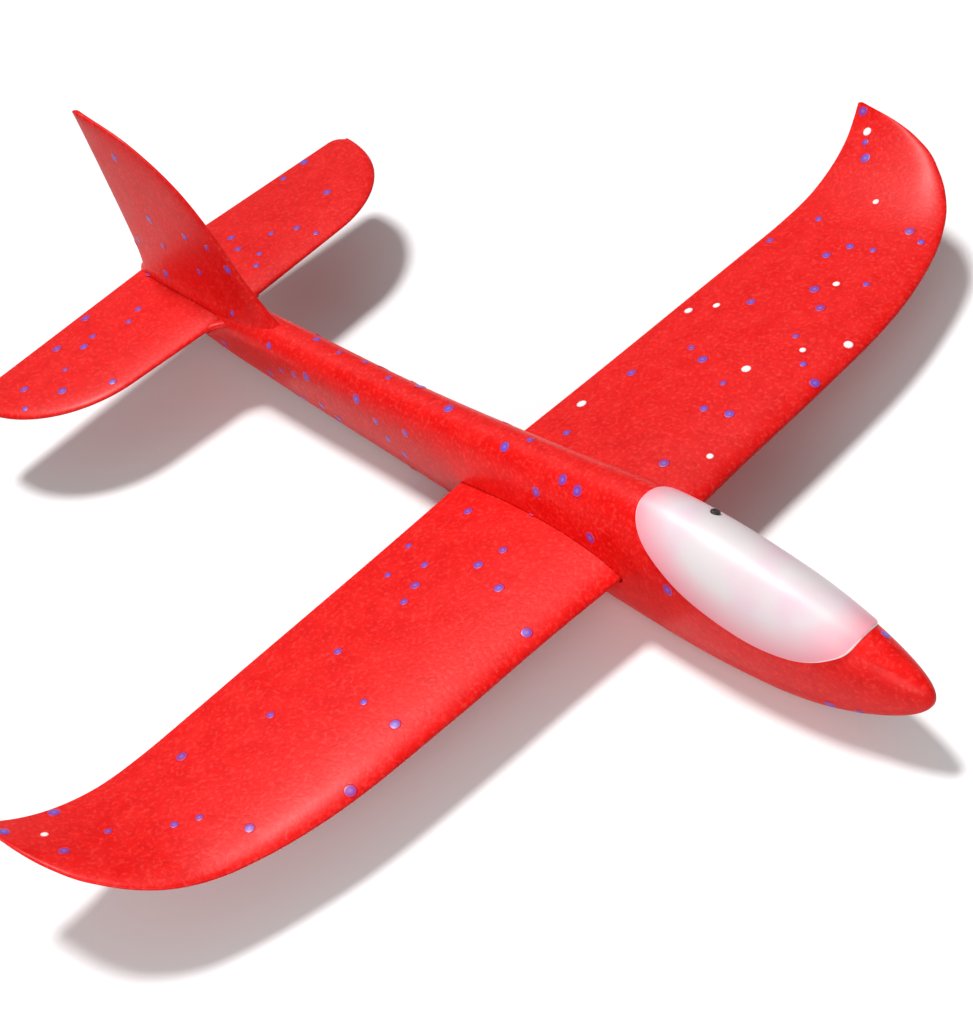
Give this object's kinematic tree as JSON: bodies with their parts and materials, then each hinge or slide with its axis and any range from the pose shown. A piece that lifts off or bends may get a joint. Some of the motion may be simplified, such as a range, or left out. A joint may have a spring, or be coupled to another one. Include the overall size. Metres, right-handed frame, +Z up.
{
  "type": "foam hand-launch glider",
  "caption": "Moulded foam hand-launch glider: fuselage with swept fin, one-piece wing with upturned tips, slot-in tailplane and a milky cockpit canopy.",
  "frame": {"origin": "on the flat of the belly, below the balance point", "axes": "+X to the nose, +Y to the left wing tip, +Z up"},
  "size_m": [0.458, 0.48, 0.124],
  "materials": {
    "red_foam": "moulded expanded polypropylene beads, red with white and violet ones",
    "red_foam_wing": "moulded expanded polypropylene beads, red with white and violet ones",
    "red_foam_tail": "moulded expanded polypropylene beads, red with white and violet ones",
    "canopy_sheet": "milky vacuum-formed sheet",
    "black_plastic": "moulded",
    "steel": "turned bar"
  },
  "bodies": {
    "fuselage": {"fuselage": "red_foam", "canopy": "canopy_sheet", "canopy_pin": "black_plastic", "nose_weight": "steel"},
    "wing": {"wing": "red_foam_wing"},
    "tailplane": {"tailplane": "red_foam_tail"}
  },
  "joints": [
    {"name": "wing_slide", "type": "slide", "parent": "fuselage", "child": "wing", "axis": [0, 1, 0], "range_m": [-0.12, 0.12]},
    {"name": "tailplane_slide", "type": "slide", "parent": "fuselage", "child": "tailplane", "axis": [0, 1, 0], "range_m": [-0.1, 0.1]}
  ]
}
